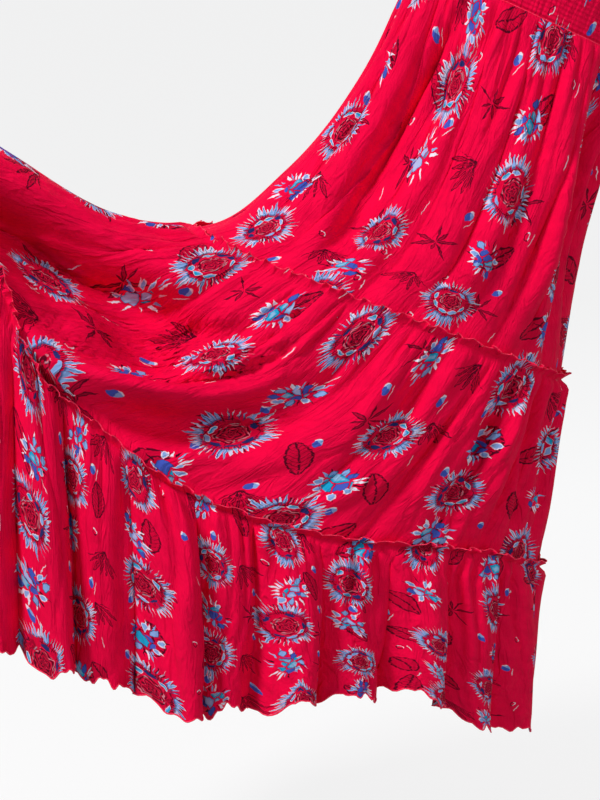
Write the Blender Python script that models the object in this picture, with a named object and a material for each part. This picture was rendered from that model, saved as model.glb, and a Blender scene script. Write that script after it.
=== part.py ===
"""A three-tier summer dress, worn and swept out to one side.

The dress is a hollow tube of cloth: a shirred bodice, a long upper tier, a
middle tier and a gathered flounce.  The waist tilts and the left side of the
skirt is held out and up, so the upper cloth swags from the waist to the held
point and the flounce hangs straight down.  +Z is up, -Y is the front, and the
origin is the middle of the waist seam, where the wearer's waist carries it.
"""
from collections import namedtuple

import bmesh
import bpy
import numpy as np

# ---------------------------------------------------------------- driving sizes
WALL = 0.002            # cloth thickness as built
SEAM_GAP = 0.0003       # clearance between the front and the back at a side seam
LAP = 0.010             # height of a frill heading above its stitch line
LAP_GAP = 0.0004        # clearance between the lapped layers
LAYER = WALL + LAP_GAP  # step outwards from each tier to the one sewn over it

BODICE_HEIGHT = 0.25    # all lengths of cloth are measured down from the waist seam
UPPER_SEAM = 0.42       # length of the upper tier
FLOUNCE_SEAM = 0.72     # upper tier and middle tier together
HEM = 1.02              # down to the lower edge of the flounce

FOLD_WAVE = (0.0, 0.62, 1.0, 0.62)  # share of a fold's height at its valley, flank, ridge, flank
COLUMNS_PER_FOLD = len(FOLD_WAVE)
NOSE_POWER = 0.8        # how quickly a ring fills out from its left end
SWING_POWER = 1.5       # how quickly a ring's left end comes forward
FINE = 241              # points along half a ring before it is spaced out
CURVE_STEPS = 33        # points along the centre line of a crease
FRONT, BACK = -1, 1     # sides, as signs of Y

# Each ring is one level of the dress.  left and right are its two ends in X and
# Z; a pull moves a third point of the straight line between them.  depth is the
# half depth, nose the share of it kept at the left end, swing how far the left
# end comes forward, and dip how much lower the front runs than the ends.
Ring = namedtuple("Ring", "level left_x left_z right_x right_z "
                          "left_pull_x left_pull_z right_pull_x right_pull_z depth nose swing dip")

BODICE_RINGS = (
    Ring(-BODICE_HEIGHT, -0.072, 0.266, 0.214, 0.200, 0, 0, 0, 0, 0.122, 1.00, 0, 0.006),
    Ring(-0.12, -0.100, 0.150, 0.166, 0.062, 0, 0, 0, 0, 0.114, 1.00, 0, 0.016),
    Ring(0, -0.134, 0.036, 0.115, -0.074, 0, 0, 0, 0, 0.100, 1.00, 0, 0.026),
)
UPPER_RINGS = (
    BODICE_RINGS[-1],
    Ring(0.14, -0.203, -0.100, 0.083, -0.205, 0.00, -0.01, 0.00, -0.01, 0.135, 0.75, -0.010, 0.024),
    Ring(0.28, -0.297, -0.212, 0.056, -0.330, 0.00, -0.02, 0.00, -0.01, 0.160, 0.60, -0.030, 0.020),
    Ring(UPPER_SEAM, -0.400, -0.275, 0.040, -0.452, 0.00, 0.02, 0.00, 0.03, 0.172, 0.50, -0.040, 0.016),
    Ring(0.52, -0.503, -0.256, 0.034, -0.535, -0.03, -0.12, 0.00, -0.02, 0.182, 0.45, -0.075, 0.010),
    Ring(0.62, -0.600, -0.194, 0.028, -0.615, -0.07, -0.19, -0.03, -0.07, 0.192, 0.42, -0.105, 0.004),
    Ring(FLOUNCE_SEAM, -0.685, -0.137, 0.020, -0.695, -0.10, -0.24, -0.06, -0.12, 0.200, 0.40, -0.140, 0),
)
FLOUNCE_RINGS = (
    UPPER_RINGS[-1],
    Ring(0.87, -0.700, -0.370, 0.012, -0.800, -0.09, -0.22, -0.05, -0.01, 0.203, 0.40, -0.145, 0),
    Ring(HEM, -0.710, -0.605, 0.004, -0.900, -0.08, -0.17, -0.04, 0.10, 0.205, 0.40, -0.150, 0),
)

# One row for each gathered fold, from the held-out side round to the other side:
# its place along the ring, and its height in each tier.
Fold = namedtuple("Fold", "place upper middle flounce")

FRONT_FOLDS = (
    Fold(0.050, 0.004, 0.004, 0.022),
    Fold(0.150, 0.006, 0.004, 0.030),
    Fold(0.250, 0.004, 0.003, 0.036),
    Fold(0.350, 0.007, 0.004, 0.046),
    Fold(0.455, 0.005, 0.006, 0.022),
    Fold(0.560, 0.008, 0.006, 0.048),
    Fold(0.645, 0.006, 0.009, 0.022),
    Fold(0.715, 0.009, 0.008, 0.040),
    Fold(0.790, 0.006, 0.010, 0.018),
    Fold(0.870, 0.008, 0.008, 0.034),
    Fold(0.950, 0.005, 0.006, 0.020),
)
BACK_FOLDS = (
    Fold(0.060, 0.005, 0.004, 0.020),
    Fold(0.145, 0.004, 0.005, 0.028),
    Fold(0.240, 0.007, 0.004, 0.034),
    Fold(0.345, 0.005, 0.006, 0.028),
    Fold(0.440, 0.008, 0.005, 0.036),
    Fold(0.540, 0.006, 0.008, 0.026),
    Fold(0.630, 0.009, 0.006, 0.034),
    Fold(0.725, 0.006, 0.009, 0.024),
    Fold(0.800, 0.008, 0.008, 0.030),
    Fold(0.875, 0.005, 0.007, 0.024),
    Fold(0.945, 0.006, 0.005, 0.018),
)

# How much of a fold's height shows at each length down the cloth: levels, then
# the share of the upper, the middle and the flounce height.
Swell = namedtuple("Swell", "level upper middle flounce")

FOLD_SWELL = (
    Swell(-BODICE_HEIGHT, 0.0, 0.0, 0.0),
    Swell(0.00, 0.0, 0.0, 0.0),
    Swell(0.06, 0.9, 0.0, 0.0),
    Swell(0.28, 1.0, 0.0, 0.0),
    Swell(UPPER_SEAM, 0.1, 0.1, 0.0),
    Swell(0.47, 0.0, 1.0, 0.0),
    Swell(0.62, 0.0, 0.8, 0.0),
    Swell(FLOUNCE_SEAM, 0.0, 0.2, 0.0),
    Swell(0.77, 0.0, 0.0, 0.6),
    Swell(HEM, 0.0, 0.0, 1.0),
)

# The large creases of the swag, each a curve through three points in X and Z on
# one side, with its half width and its height (below zero for a trough).
Crease = namedtuple("Crease", "side start_x start_z middle_x middle_z end_x end_z width height")

CREASES = (
    Crease(FRONT, -0.660, -0.215, -0.510, -0.335, -0.330, -0.400, 0.030, -0.056),
    Crease(FRONT, -0.600, -0.370, -0.430, -0.446, -0.265, -0.380, 0.034, 0.036),
    Crease(FRONT, -0.500, -0.450, -0.430, -0.500, -0.310, -0.505, 0.026, -0.016),
    Crease(FRONT, -0.092, -0.055, -0.180, -0.205, -0.240, -0.300, 0.022, -0.026),
    Crease(FRONT, 0.050, -0.120, 0.040, -0.260, 0.005, -0.420, 0.018, -0.014),
    Crease(BACK, -0.630, -0.240, -0.480, -0.345, -0.320, -0.370, 0.030, -0.044),
    Crease(BACK, -0.590, -0.360, -0.440, -0.435, -0.270, -0.400, 0.032, 0.030),
    Crease(BACK, -0.500, -0.460, -0.400, -0.510, -0.290, -0.490, 0.026, -0.016),
    Crease(BACK, -0.090, -0.040, -0.165, -0.190, -0.215, -0.300, 0.022, -0.018),
    Crease(BACK, 0.045, -0.130, 0.028, -0.270, 0.000, -0.430, 0.020, -0.013),
)
CREASE_FADE = 0.22      # share of a crease over which it fades in and out
CREASE_END = 0.25       # share of its height that a crease keeps at its ends
EDGE_FADE = 0.12        # share of half a ring over which creases fade to a side seam

# name, number of rows in its own height, material colour and roughness
Tier = namedtuple("Tier", "name top bottom rows colour roughness")

TIERS = (
    Tier("bodice", -BODICE_HEIGHT, 0.0, 2, (0.56, 0.004, 0.030), 0.80),
    Tier("upper_tier", 0.0, UPPER_SEAM, 6, (0.60, 0.004, 0.034), 0.72),
    Tier("middle_tier", UPPER_SEAM, FLOUNCE_SEAM, 5, (0.60, 0.004, 0.034), 0.72),
    Tier("flounce", FLOUNCE_SEAM, HEM, 4, (0.57, 0.004, 0.032), 0.72),
)


# ---------------------------------------------------------------- rings
def bezier(ends, pulls, w):
    """One coordinate of a ring's middle line, straight when both pulls are zero."""
    first = ends[0] + (ends[1] - ends[0]) / 3 + pulls[0]
    second = ends[1] - (ends[1] - ends[0]) / 3 + pulls[1]
    v = 1 - w
    return v**3 * ends[0] + 3 * v**2 * w * first + 3 * v * w**2 * second + w**3 * ends[1]


def half_ring(ring, side, w):
    """Points of the front or the back of a ring, w running from its left to its right."""
    round_share = 2 * np.sqrt(w * (1 - w))
    bulge = round_share * (ring.nose + (1 - ring.nose) * w**NOSE_POWER)
    x = bezier((ring.left_x, ring.right_x), (ring.left_pull_x, ring.right_pull_x), w)
    z = bezier((ring.left_z, ring.right_z), (ring.left_pull_z, ring.right_pull_z), w)
    y = ring.swing * (1 - w)**SWING_POWER + side * ring.depth * bulge
    return np.stack((x, y, z + side * ring.dip * round_share), axis=1)


def column_places(folds):
    """Places of the mesh columns along half a ring: valley, flank, ridge, flank."""
    ridges = np.array([fold.place for fold in folds])
    valleys = np.concatenate(([0], (ridges[1:] + ridges[:-1]) / 2, [1]))
    places = []
    for left, ridge, right in zip(valleys[:-1], ridges, valleys[1:]):
        places += [left, (left + ridge) / 2, ridge, (ridge + right) / 2]
    return np.array(places + [1])


def column_shares(ring, side, folds):
    """The w of every column on half a ring, so that places are shares of its length."""
    w = (1 - np.cos(np.linspace(0, np.pi, FINE))) / 2
    steps = np.linalg.norm(np.diff(half_ring(ring, side, w), axis=0), axis=1)
    length = np.concatenate(([0], np.cumsum(steps)))
    return np.interp(column_places(folds) * length[-1], length, w)


def closed_ring(ring):
    """The whole ring: the front from left to right, then the back from right to left.

    The flounce hangs straight down, so its rings keep the columns of its own seam.
    """
    spacing = min(ring, UPPER_RINGS[-1], key=lambda row: row.level)
    halves = [half_ring(ring, side, column_shares(spacing, side, folds))
              for side, folds in ((FRONT, FRONT_FOLDS), (BACK, BACK_FOLDS))]
    return np.concatenate((halves[0], halves[1][-2:0:-1]))


def through_rings(rings, level):
    """The closed ring at a level, on smooth curves through the rings of one stretch."""
    levels = np.array([ring.level for ring in rings])
    shapes = np.stack([closed_ring(ring) for ring in rings])
    slopes = np.gradient(shapes, levels, axis=0)
    index = int(np.clip(np.searchsorted(levels, level) - 1, 0, len(rings) - 2))
    span = levels[index + 1] - levels[index]
    t = (level - levels[index]) / span
    start = (2 * t**3 - 3 * t**2 + 1) * shapes[index] + (t**3 - 2 * t**2 + t) * span * slopes[index]
    end = (3 * t**2 - 2 * t**3) * shapes[index + 1] + (t**3 - t**2) * span * slopes[index + 1]
    return start + end


def plain_ring(level):
    """The closed ring at a level of the dress, before any fold."""
    if level < 0:
        return through_rings(BODICE_RINGS, level)
    if level <= FLOUNCE_SEAM:
        return through_rings(UPPER_RINGS, level)
    return through_rings(FLOUNCE_RINGS, level)


# ---------------------------------------------------------------- folds
def outward(cloth):
    """Unit vectors pointing out of the cloth at every point of a grid of rings."""
    around = np.roll(cloth, -1, axis=1) - np.roll(cloth, 1, axis=1)
    down = np.gradient(cloth, axis=0)
    normal = np.cross(down, around)
    return normal / np.linalg.norm(normal, axis=2, keepdims=True)


def fold_heights(level):
    """Height of the gathered folds on every column of a closed ring."""
    levels = [swell.level for swell in FOLD_SWELL]
    shares = [np.interp(level, levels, [getattr(swell, name) for swell in FOLD_SWELL])
              for name in ("upper", "middle", "flounce")]
    halves = []
    for folds in (FRONT_FOLDS, BACK_FOLDS):
        tops = [np.dot(shares, fold[1:]) for fold in folds]
        halves.append(np.append(np.outer(tops, FOLD_WAVE).ravel(), 0))
    return np.concatenate((halves[0], halves[1][-2:0:-1]))


def crease_heights(cloth, crease):
    """Height that one crease gives to every point of the cloth."""
    t = np.linspace(0, 1, CURVE_STEPS)
    lines = []
    for start, middle, end in ((crease.start_x, crease.middle_x, crease.end_x),
                               (crease.start_z, crease.middle_z, crease.end_z)):
        bend = 2 * middle - (start + end) / 2
        lines.append((1 - t)**2 * start + 2 * t * (1 - t) * bend + t**2 * end)
    line = np.stack(lines, axis=1)
    gaps = np.linalg.norm(cloth[:, :, None, (0, 2)] - line, axis=3)
    along = t[np.argmin(gaps, axis=2)]
    fade = np.clip(np.minimum(along, 1 - along) / CREASE_FADE, 0, 1)
    across = np.exp(-(gaps.min(axis=2) / crease.width)**2)
    kept = CREASE_END + (1 - CREASE_END) * fade
    return crease.height * across * kept * side_share(crease.side)


def side_share(side):
    """One in the middle of the front or back, zero at its side seams and beyond."""
    halves = []
    for folds, own_side in ((FRONT_FOLDS, FRONT), (BACK_FOLDS, BACK)):
        places = column_places(folds)
        fade = np.clip(np.minimum(places, 1 - places) / EDGE_FADE, 0, 1)
        halves.append(fade * (own_side == side))
    return np.concatenate((halves[0], halves[1][-2:0:-1]))


def folded_cloth(levels):
    """The middle of the bodice's wall and its outward vectors, at every level."""
    plain = np.stack([plain_ring(level) for level in levels])
    heights = np.stack([fold_heights(level) for level in levels])
    for crease in CREASES:
        heights = heights + crease_heights(plain, crease)
    cloth = plain + outward(plain) * heights[:, :, None]
    return cloth, outward(cloth)


# ---------------------------------------------------------------- pieces
def tier_levels(tier):
    """Levels of a tier's rows: its heading, its stitch line, then down to the next seam."""
    levels = list(np.linspace(tier.top, tier.bottom, tier.rows + 1))
    if tier.top >= 0:
        levels.insert(0, tier.top - LAP)
    if tier.bottom < HEM:
        levels.insert(-1, tier.bottom - LAP)
    return [round(float(level), 5) for level in levels]


def panel_columns(side):
    """Column numbers of the front or the back panel, from left to right as worn."""
    front_count = COLUMNS_PER_FOLD * len(FRONT_FOLDS)
    total = front_count + COLUMNS_PER_FOLD * len(BACK_FOLDS)
    if side == FRONT:
        return list(range(front_count + 1))
    return [0] + list(range(total - 1, front_count - 1, -1))


def cloth_material(tier):
    material = bpy.data.materials.new(tier.name + "_cloth")
    material.use_nodes = True
    shader = material.node_tree.nodes["Principled BSDF"]
    shader.inputs["Base Color"].default_value = (*tier.colour, 1)
    shader.inputs["Roughness"].default_value = tier.roughness
    shader.inputs["Metallic"].default_value = 0
    return material


def add_panel(name, middle, out, side, material):
    """A closed wall of cloth around a grid of points with their outward vectors."""
    rows, columns = middle.shape[:2]
    middle = middle + np.array((0, side * SEAM_GAP / 2, 0))
    inner = (middle - out * WALL / 2).reshape(-1, 3)
    outer = (middle + out * WALL / 2).reshape(-1, 3)
    sheet = bmesh.new()
    bmesh.ops.create_grid(sheet, x_segments=columns - 1, y_segments=rows - 1, size=1)
    point = sheet.verts.layers.int.new("point")
    for number, vert in enumerate(sheet.verts):
        vert[point] = number
        vert.co = inner[number]
    bmesh.ops.triangulate(sheet, faces=sheet.faces[:], quad_method="FIXED")
    grown = bmesh.ops.extrude_face_region(sheet, geom=sheet.faces[:])
    for item in grown["geom"]:
        if isinstance(item, bmesh.types.BMVert):
            item.co = outer[item[point]]
    bmesh.ops.recalc_face_normals(sheet, faces=sheet.faces[:])
    mesh = bpy.data.meshes.new(name)
    sheet.to_mesh(mesh)
    sheet.free()
    mesh.materials.append(material)
    mesh.shade_smooth()
    panel = bpy.data.objects.new(name, mesh)
    bpy.context.scene.collection.objects.link(panel)


def build():
    for old in list(bpy.data.objects):
        bpy.data.objects.remove(old, do_unlink=True)
    levels = sorted({level for tier in TIERS for level in tier_levels(tier)})
    cloth, out = folded_cloth(levels)
    for layer, tier in enumerate(TIERS):
        rows = [levels.index(level) for level in tier_levels(tier)]
        material = cloth_material(tier)
        for side, word in ((FRONT, "front"), (BACK, "back")):
            part = np.ix_(rows, panel_columns(side))
            middle = cloth[part] + out[part] * LAYER * layer
            add_panel(tier.name + "_" + word, middle, out[part], side, material)


build()
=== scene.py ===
"""A three-tier summer dress in printed crepe, worn and swept out to one side.

Each tier is one sheet of cloth: a tube on the frame's own rings, with its
gathered pleats, drag folds, frill heading and rolled edges worked into it.
"""
import math
from collections import namedtuple
from types import SimpleNamespace

import bmesh
import bpy
import numpy as np
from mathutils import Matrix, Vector


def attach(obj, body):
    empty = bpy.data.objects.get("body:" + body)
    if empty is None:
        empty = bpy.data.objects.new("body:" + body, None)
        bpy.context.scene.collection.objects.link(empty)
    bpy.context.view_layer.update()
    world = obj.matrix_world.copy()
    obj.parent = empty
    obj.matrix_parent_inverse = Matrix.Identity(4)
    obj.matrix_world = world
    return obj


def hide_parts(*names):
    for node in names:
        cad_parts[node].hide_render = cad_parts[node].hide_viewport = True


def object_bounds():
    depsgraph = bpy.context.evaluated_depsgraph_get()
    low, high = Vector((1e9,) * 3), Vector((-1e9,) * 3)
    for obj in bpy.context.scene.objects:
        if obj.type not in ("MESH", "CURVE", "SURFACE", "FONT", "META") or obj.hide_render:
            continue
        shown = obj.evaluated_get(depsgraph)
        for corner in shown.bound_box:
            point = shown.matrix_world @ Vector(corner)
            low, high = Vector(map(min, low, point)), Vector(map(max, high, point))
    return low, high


bl_info = {
    "name": "Tiered dress",
    "version": (1, 0, 0),
    "blender": (4, 5, 0),
    "location": "3D View > Sidebar > Dress",
    "description": "Sews a printed three-tier dress over its packed frame",
    "category": "Object",
}

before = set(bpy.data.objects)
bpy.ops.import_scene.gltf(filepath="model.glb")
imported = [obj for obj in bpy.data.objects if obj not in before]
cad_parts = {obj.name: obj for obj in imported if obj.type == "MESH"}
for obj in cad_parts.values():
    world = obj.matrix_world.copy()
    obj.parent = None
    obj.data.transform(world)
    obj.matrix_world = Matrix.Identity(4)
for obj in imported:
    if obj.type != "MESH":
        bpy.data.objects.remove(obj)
CAD_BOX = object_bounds()

# ---------------------------------------------------------------- the cut, in metres
BODICE_HEIGHT = 0.25    # all lengths of cloth are measured down from the waist seam
UPPER_SEAM = 0.42
FLOUNCE_SEAM = 0.72
HEM = 1.02
LAP = 0.010             # height of a frill heading above its stitch line
LAYER = 0.0016          # step outwards from each tier to the one sewn over it
ALLOWANCE = 0.016       # how far a tier runs on behind the one sewn over it
PINCH = 0.018           # how far below a stitch line the pleats stand up fully
FINE = 721              # points along half a ring before it is spaced out
FRONT, BACK = -1, 1     # sides, as signs of Y

# The frame's rings: the two ends of each level in X and Z, the pulls on its
# middle line, its half depth, how full its left end is, how far that end comes
# forward, and how much lower the front runs.
Ring = namedtuple("Ring", "level left_x left_z right_x right_z "
                          "left_pull_x left_pull_z right_pull_x right_pull_z depth nose swing dip")

BODICE_RINGS = (
    Ring(-BODICE_HEIGHT, -0.072, 0.266, 0.214, 0.200, 0, 0, 0, 0, 0.122, 1.00, 0, 0.006),
    Ring(-0.12, -0.100, 0.150, 0.166, 0.062, 0, 0, 0, 0, 0.114, 1.00, 0, 0.016),
    Ring(0, -0.134, 0.036, 0.115, -0.074, 0, 0, 0, 0, 0.100, 1.00, 0, 0.026),
)
UPPER_RINGS = (
    BODICE_RINGS[-1],
    Ring(0.14, -0.203, -0.100, 0.083, -0.205, 0.00, -0.01, 0.00, -0.01, 0.135, 0.75, -0.010, 0.024),
    Ring(0.28, -0.297, -0.212, 0.056, -0.330, 0.00, -0.02, 0.00, -0.01, 0.160, 0.60, -0.030, 0.020),
    Ring(UPPER_SEAM, -0.4, -0.275, 0.04, -0.452, 0.00, 0.02, 0.00, 0.03, 0.172, 0.50, -0.04, 0.016),
    Ring(0.52, -0.503, -0.256, 0.034, -0.535, -0.03, -0.12, 0.00, -0.02, 0.182, 0.45, -0.075, 0.01),
    Ring(0.62, -0.600, -0.194, 0.028, -0.615, -0.07, -0.19, -0.03, -0.07, 0.192, 0.42, -0.105, 0.004),
    Ring(FLOUNCE_SEAM, -0.685, -0.137, 0.02, -0.695, -0.1, -0.24, -0.06, -0.12, 0.2, 0.4, -0.14, 0),
)
FLOUNCE_RINGS = (
    UPPER_RINGS[-1],
    Ring(0.87, -0.700, -0.370, 0.012, -0.800, -0.09, -0.22, -0.05, -0.01, 0.203, 0.40, -0.145, 0),
    Ring(HEM, -0.710, -0.605, 0.004, -0.900, -0.08, -0.17, -0.04, 0.10, 0.205, 0.40, -0.150, 0),
)

# How far down the cloth each seam lies from its ring: place along half that ring,
# and millimetres for the middle tier's seam and for the flounce's.
SHIFTS = {
    FRONT: (
        (0.00, 12, 0), (0.15, 16, 0), (0.22, 16, 2), (0.27, 15, 13), (0.33, 15, 23),
        (0.42, 14, 19), (0.48, 13, 19), (0.54, 12, 11), (0.60, 10, 2), (0.66, 8, -10),
        (0.72, 7, -23), (0.78, 5, -32), (0.85, 4, -32), (0.91, 3, -18), (1.00, 2, 0),
    ),
    BACK: ((0.00, 12, 0), (0.40, 8, 8), (0.75, 6, -8), (1.00, 2, 0)),
}
SHIFT_REACH = 0.15      # how far above and below a seam the cloth moves with it

# The big gathered folds of the two upper tiers: place along half a ring, and
# height in millimetres in each tier.
FOLDS = {
    FRONT: (
        (0.050, 4, 4), (0.150, 6, 4), (0.250, 4, 3), (0.350, 7, 4), (0.455, 5, 6), (0.560, 8, 6),
        (0.645, 6, 9), (0.715, 9, 8), (0.790, 6, 10), (0.870, 8, 8), (0.950, 5, 6),
    ),
    BACK: (
        (0.060, 5, 4), (0.145, 4, 5), (0.240, 7, 4), (0.345, 5, 6), (0.440, 8, 5), (0.540, 6, 8),
        (0.630, 9, 6), (0.725, 6, 9), (0.800, 8, 8), (0.875, 5, 7), (0.945, 6, 5),
    ),
}

# The flounce's folds: place, height in millimetres, how far the fold leans towards
# the right end, and how many millimetres longer the cloth hangs there.
FLUTES = {
    FRONT: (
        (0.050, 22, 0.2, -6), (0.145, 30, 0.3, -10), (0.225, 34, 0.3, -14), (0.290, 46, 0.9, -4),
        (0.385, 28, 0.3, -20), (0.470, 54, 0.6, 16), (0.540, 30, 0.2, -6), (0.605, 46, 0.6, 10),
        (0.685, 30, 0.5, -22), (0.765, 40, 0.5, -30), (0.838, 28, 0.5, -6), (0.910, 28, 0.5, -6),
        (0.968, 8, 0.0, -12),
    ),
    BACK: (
        (0.060, 20, 0.2, -4), (0.145, 28, -0.4, -12), (0.225, 36, 0.6, 4), (0.300, 24, 0.1, -10),
        (0.370, 38, -0.5, 8), (0.440, 26, 0.3, -14), (0.530, 42, 0.5, 6), (0.600, 24, -0.2, -12),
        (0.670, 38, 0.4, -4), (0.750, 28, 0.6, 10), (0.820, 30, -0.4, -16), (0.900, 24, 0.3, -2),
        (0.962, 10, 0.2, -10),
    ),
}

# How much of a fold's height shows at each length down the cloth, in each tier.
FOLD_SWELL = (
    (-BODICE_HEIGHT, 0.0, 0.0), (0.00, 0.0, 0.0), (0.06, 0.9, 0.0), (0.28, 1.0, 0.0),
    (UPPER_SEAM, 0.1, 0.1), (0.47, 0.0, 1.0), (0.62, 0.0, 0.8), (FLOUNCE_SEAM, 0.0, 0.2),
    (0.77, 0.0, 0.0),
)
# How many millimetres longer or shorter the hem hangs along the front.
HEM_TRIM = (
    (0.00, 0), (0.25, 10), (0.27, 4), (0.30, -18), (0.355, 12), (0.43, 6), (0.46, -2), (0.48, -6),
    (0.52, 18), (0.55, 4), (0.58, 13), (0.60, -30), (0.65, 8), (0.67, -6), (0.72, 14),
    (0.745, -12), (0.765, 2), (0.80, 3), (0.87, 4), (0.91, -4), (1.00, 0),
)
FLUTE_SWELL = ((FLOUNCE_SEAM, 0.0), (0.76, 0.5), (0.84, 0.8), (HEM, 1.05))

# Drag folds and creases: a curve through three points in X and Z, its half width
# and its height (below zero for a trough), all in millimetres, and its lean: above
# zero the side above the curve, or to the right of a falling one, is steeper.
CREASES = {
    FRONT: (
        # the deep swag and the roll under it
        (-660, -215, -510, -335, -330, -400, 30, -56, 0.5),
        (-600, -370, -430, -446, -265, -380, 34, 36, -0.4),
        (-480, -440, -400, -485, -290, -470, 26, -16, 0.4),
        (-92, -55, -180, -205, -240, -300, 22, -26, -0.3),
        (62, -100, 46, -260, 10, -420, 18, -18, -0.4),
    ),
    BACK: (
        (-630, -240, -480, -345, -320, -370, 30, -44, 0.5),
        (-590, -360, -440, -435, -270, -400, 32, 30, -0.4),
        (-480, -445, -400, -485, -290, -470, 26, -16, 0.4),
        (-90, -40, -165, -190, -215, -300, 22, -18, -0.3),
        (45, -130, 28, -270, 0, -430, 20, -13, 0.3),
    ),
}
FOLD_DEPTH = 2.0        # how much deeper the dress's big folds are than the frame's
FOLD_SINK = 1.1         # how far the folds sink, as a share of the frame's heights
CREASE_FADE = 0.22      # share of a drag fold's length over which each end fades
FINE_CREASE_FADE = 0.45  # the same for a fine crease
EDGE_FADE = 0.12        # share of a half ring over which creases and frills fade at its ends
PLEAT_SINK = 0.75       # how far a pleat's valleys sink below the cloth they come from
CREASE_FOLLOW = 0.5     # how far small pleats turn with the creases they lie in
CREASE_POINTS = 41      # points along a crease's curve
CREASE_REACH = 3.2      # half widths from its curve at which a crease has died out
HEADING_SHARE = 0.3     # how freely the pleats stand in a heading
FOLD_WANDER = 0.010     # how far the big folds wander sideways, as a share of half a ring
FLUTE_WANDER = 0.008    # the same for the flounce's folds
FOLD_ROUND = 0.85       # power of the big folds' shape: the smaller, the blunter their tops
FLUTE_ROUND = 0.80      # the same for the flounce's folds
RIGHT_FROM = 0.58       # place on a half ring where the pleats at the right begin
RIGHT_OVER = 0.20       # and the share of it over which they grow to their full height
FRILL_CURL = 0.0029     # how far a heading's edge swings along the seam
FRILL_RISE = 0.0020     # how far a heading's edge waves up and down
ELASTIC_ROWS = 0.0085   # distance between the bodice's rows of elastic thread
PUFF = 0.0009           # height of the puffs between those rows
RIB = 0.0003            # half the height of the small ribs across the puffs
RIBS = 124              # ribs round the bodice
HEM_REACH = 0.030       # how far above the hem its own waves begin
HEM_FLUTTER = 0.0022    # how far the hem waves in and out
TUBE_SIDES = 6          # sides of a rolled edge
WEAVE = 0.8             # distance between the crepe's threads, in millimetres
CRINKLE = 0.0010        # height in metres of one step of the crepe's relief
FLOUNCE_PRINT = 0.82    # size of the flounce's print, as a share of the other tiers'

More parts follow.
